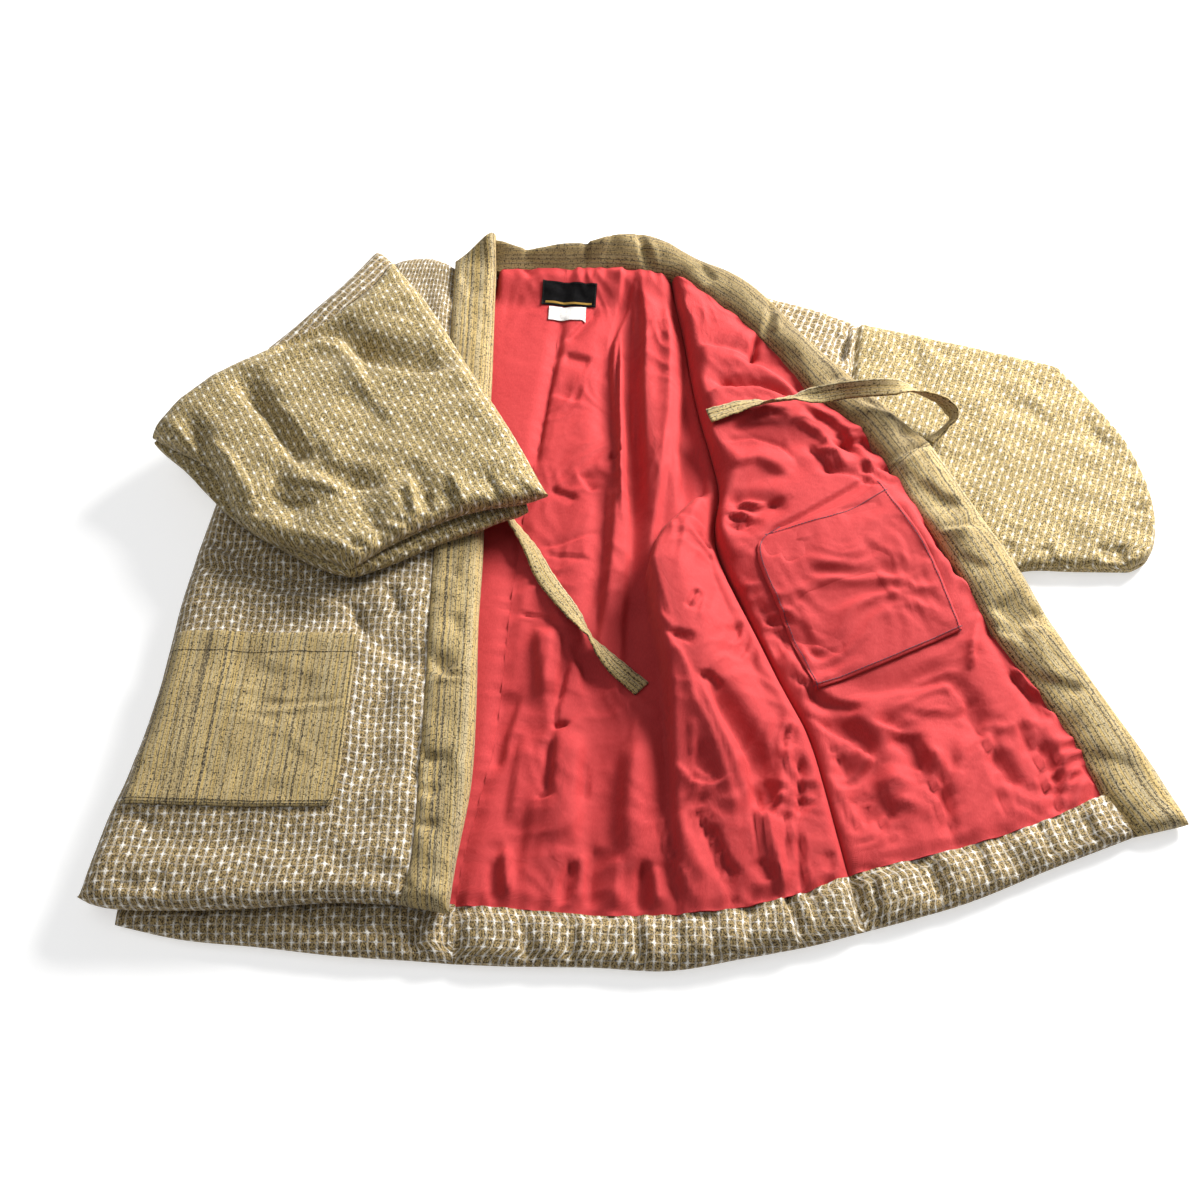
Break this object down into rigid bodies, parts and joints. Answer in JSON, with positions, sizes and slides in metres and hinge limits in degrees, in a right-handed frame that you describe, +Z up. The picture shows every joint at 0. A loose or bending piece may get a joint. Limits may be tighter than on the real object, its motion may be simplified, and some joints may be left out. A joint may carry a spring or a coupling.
{
  "type": "hanten jacket",
  "caption": "Padded hanten jacket laid on its back, one front closed with its sleeve folded over it, the other flipped open to show a red lining.",
  "frame": {"origin": "on the surface it lies on, under the middle of its box", "axes": "+Z up from the surface, +X towards the open sleeve, +Y from the hem to the neck"},
  "size_m": [1.0348, 0.8685, 0.083],
  "materials": {
    "body_check": "matte woven cotton, olive ground with a white grid and black slubs",
    "sleeve_check": "matte woven cotton, mustard ground with white crosses",
    "stripe_cloth": "matte woven cotton, mustard with thin black slub stripes",
    "lining": "plain red cotton, slight sheen",
    "label_black": "woven tape, satin",
    "label_white": "satin tape"
  },
  "bodies": {
    "root": {"back_open_side": "body_check", "back_closed_side": "body_check", "hem_back_closed_side": "body_check", "hem_back_open_side": "body_check", "hem_open_front": "body_check", "front_open": "body_check", "front_closed": "body_check", "shoulder_closed_flap": "body_check", "shoulder_open": "body_check", "sleeve_closed_lower": "sleeve_check", "sleeve_closed_upper": "sleeve_check", "sleeve_open_lower": "sleeve_check", "sleeve_open_upper": "sleeve_check", "collar_closed": "stripe_cloth", "collar_neck": "stripe_cloth", "collar_open_lower": "stripe_cloth", "pocket_outer": "stripe_cloth", "tie_open_side": "stripe_cloth", "tie_closed_side": "stripe_cloth", "lining_back_open_side": "lining", "lining_back_closed_side": "lining", "lining_front_open": "lining", "pocket_inner": "lining", "label_neck": "label_black", "label_care": "label_white"}
  },
  "joints": []
}
